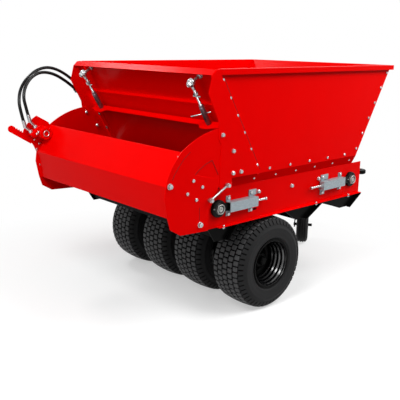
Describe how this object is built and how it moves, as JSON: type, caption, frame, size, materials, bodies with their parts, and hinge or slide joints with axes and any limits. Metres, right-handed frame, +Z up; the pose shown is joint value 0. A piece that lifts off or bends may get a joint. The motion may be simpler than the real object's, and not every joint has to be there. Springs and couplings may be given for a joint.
{
  "type": "garden spreader",
  "caption": "Towed top-dressing spreader: sheet-steel hopper over a floor conveyor, screw-set metering gate and hydraulic rotary brush at the rear, on rocking turf-tyre bogies.",
  "frame": {"origin": "middle of the tow eye's bore", "axes": "+Y the way the machine is towed, +X its right side, +Z up; the ground is 0.46 m below the origin"},
  "size_m": [1.309, 2.618, 1.289],
  "materials": {
    "red_paint": "gloss",
    "black_paint": "gloss",
    "black_casting": "satin",
    "galvanised": "spangled zinc",
    "zinc_plate": "bright zinc",
    "roller_steel": "turned",
    "tyre_rubber": "matt",
    "black_rubber": "satin",
    "bristle": "fibre"
  },
  "bodies": {
    "chassis": {"side_wall_right": "red_paint", "side_wall_left": "red_paint", "wing_right": "red_paint", "wing_left": "red_paint", "side_panel_right": "red_paint", "side_panel_left": "red_paint", "housing_plate_right": "red_paint", "housing_plate_left": "red_paint", "rear_wall": "red_paint", "front_wall": "red_paint", "skirt_strips": "red_paint", "rear_cover": "red_paint", "motor_plate": "red_paint", "brush_motor": "red_paint", "drive_guard": "red_paint", "gate_guides": "red_paint", "belt_bed": "red_paint", "cross_members": "black_paint", "frame_rails": "black_paint", "drawbar": "black_paint", "tow_eye": "black_paint", "bogie_brackets": "black_paint", "jockey_sleeve": "black_paint", "conveyor_motor": "black_paint", "bearing_holders": "black_casting", "brush_bearings": "black_casting", "take_up_boxes": "galvanised", "tension_rods": "zinc_plate", "link_rods": "zinc_plate", "gate_screws": "zinc_plate", "panel_bolts": "zinc_plate", "hose_fittings": "zinc_plate", "conveyor_belt": "black_rubber", "hose_clip": "black_rubber", "drive_belt": "black_rubber", "hose_inner": "black_rubber", "hose_outer": "black_rubber"},
    "gate": {"gate": "red_paint"},
    "sleeve_right": {"sleeve_right": "zinc_plate", "tommy_bar": "zinc_plate"},
    "sleeve_left": {"sleeve_left": "zinc_plate"},
    "brush": {"brush_shaft": "roller_steel", "brush_bristles": "bristle", "brush_pulley": "black_casting"},
    "motor_shaft": {"motor_pulley": "black_casting"},
    "drive_roller": {"drive_roller": "roller_steel"},
    "idler_roller": {"idler_roller": "roller_steel"},
    "bogie_right": {"bogie_axle_right": "black_paint"},
    "bogie_left": {"bogie_axle_left": "black_paint"},
    "wheel_outer_right": {"tyre_outer_right": "tyre_rubber", "rim_outer_right": "black_paint"},
    "wheel_inner_right": {"tyre_inner_right": "tyre_rubber", "rim_inner_right": "black_paint"},
    "wheel_inner_left": {"tyre_inner_left": "tyre_rubber", "rim_inner_left": "black_paint"},
    "wheel_outer_left": {"tyre_outer_left": "tyre_rubber", "rim_outer_left": "black_paint"},
    "jockey_leg": {"jockey_leg": "black_paint"},
    "jockey_wheel": {"jockey_tyre": "tyre_rubber", "jockey_rim": "black_paint"}
  },
  "joints": [
    {"name": "gate_slide", "type": "slide", "parent": "chassis", "child": "gate", "axis": [0, -0.5075, 0.8616], "range_m": [0, 0.04]},
    {"name": "sleeve_right_turn", "type": "hinge", "parent": "gate", "child": "sleeve_right", "pos_m": [0.463, -2.06722, 0.62267], "axis": [0, -0.5075, 0.8616], "range_deg": [-30, 30]},
    {"name": "sleeve_left_turn", "type": "hinge", "parent": "gate", "child": "sleeve_left", "pos_m": [-0.463, -2.06722, 0.62267], "axis": [0, -0.5075, 0.8616], "range_deg": [-30, 30]},
    {"name": "brush_spin", "type": "hinge", "parent": "chassis", "child": "brush", "pos_m": [0, -2.231, 0.286], "axis": [1, 0, 0], "continuous": true},
    {"name": "motor_shaft_spin", "type": "hinge", "parent": "chassis", "child": "motor_shaft", "pos_m": [-0.614, -2.377, 0.433], "axis": [1, 0, 0], "continuous": true},
    {"name": "drive_roller_spin", "type": "hinge", "parent": "chassis", "child": "drive_roller", "pos_m": [0, -2.042, 0.16], "axis": [1, 0, 0], "continuous": true},
    {"name": "idler_roller_spin", "type": "hinge", "parent": "chassis", "child": "idler_roller", "pos_m": [0, -0.94, 0.16], "axis": [1, 0, 0], "continuous": true},
    {"name": "bogie_right_rock", "type": "hinge", "parent": "chassis", "child": "bogie_right", "pos_m": [0.3105, -1.6585, -0.155], "axis": [0, 1, 0], "range_deg": [-2.5, 2.5]},
    {"name": "bogie_left_rock", "type": "hinge", "parent": "chassis", "child": "bogie_left", "pos_m": [-0.3105, -1.6585, -0.155], "axis": [0, 1, 0], "range_deg": [-2.5, 2.5]},
    {"name": "wheel_outer_right_spin", "type": "hinge", "parent": "bogie_right", "child": "wheel_outer_right", "pos_m": [0.4735, -1.6585, -0.206], "axis": [1, 0, 0], "continuous": true},
    {"name": "wheel_inner_right_spin", "type": "hinge", "parent": "bogie_right", "child": "wheel_inner_right", "pos_m": [0.1475, -1.6585, -0.206], "axis": [1, 0, 0], "continuous": true},
    {"name": "wheel_inner_left_spin", "type": "hinge", "parent": "bogie_left", "child": "wheel_inner_left", "pos_m": [-0.1475, -1.6585, -0.206], "axis": [1, 0, 0], "continuous": true},
    {"name": "wheel_outer_left_spin", "type": "hinge", "parent": "bogie_left", "child": "wheel_outer_left", "pos_m": [-0.4735, -1.6585, -0.206], "axis": [1, 0, 0], "continuous": true},
    {"name": "jockey_swivel", "type": "hinge", "parent": "chassis", "child": "jockey_leg", "pos_m": [-0.09, -0.545, -0.04], "axis": [0, 0, 1], "continuous": true},
    {"name": "jockey_wheel_spin", "type": "hinge", "parent": "jockey_leg", "child": "jockey_wheel", "pos_m": [-0.05698, -0.58898, -0.33], "axis": [0.7997, 0.6004, 0], "continuous": true}
  ],
  "couplings": [
    {"joint": "motor_shaft_spin", "follows": "brush_spin", "ratio": 1.25},
    {"joint": "idler_roller_spin", "follows": "drive_roller_spin", "ratio": 1}
  ]
}
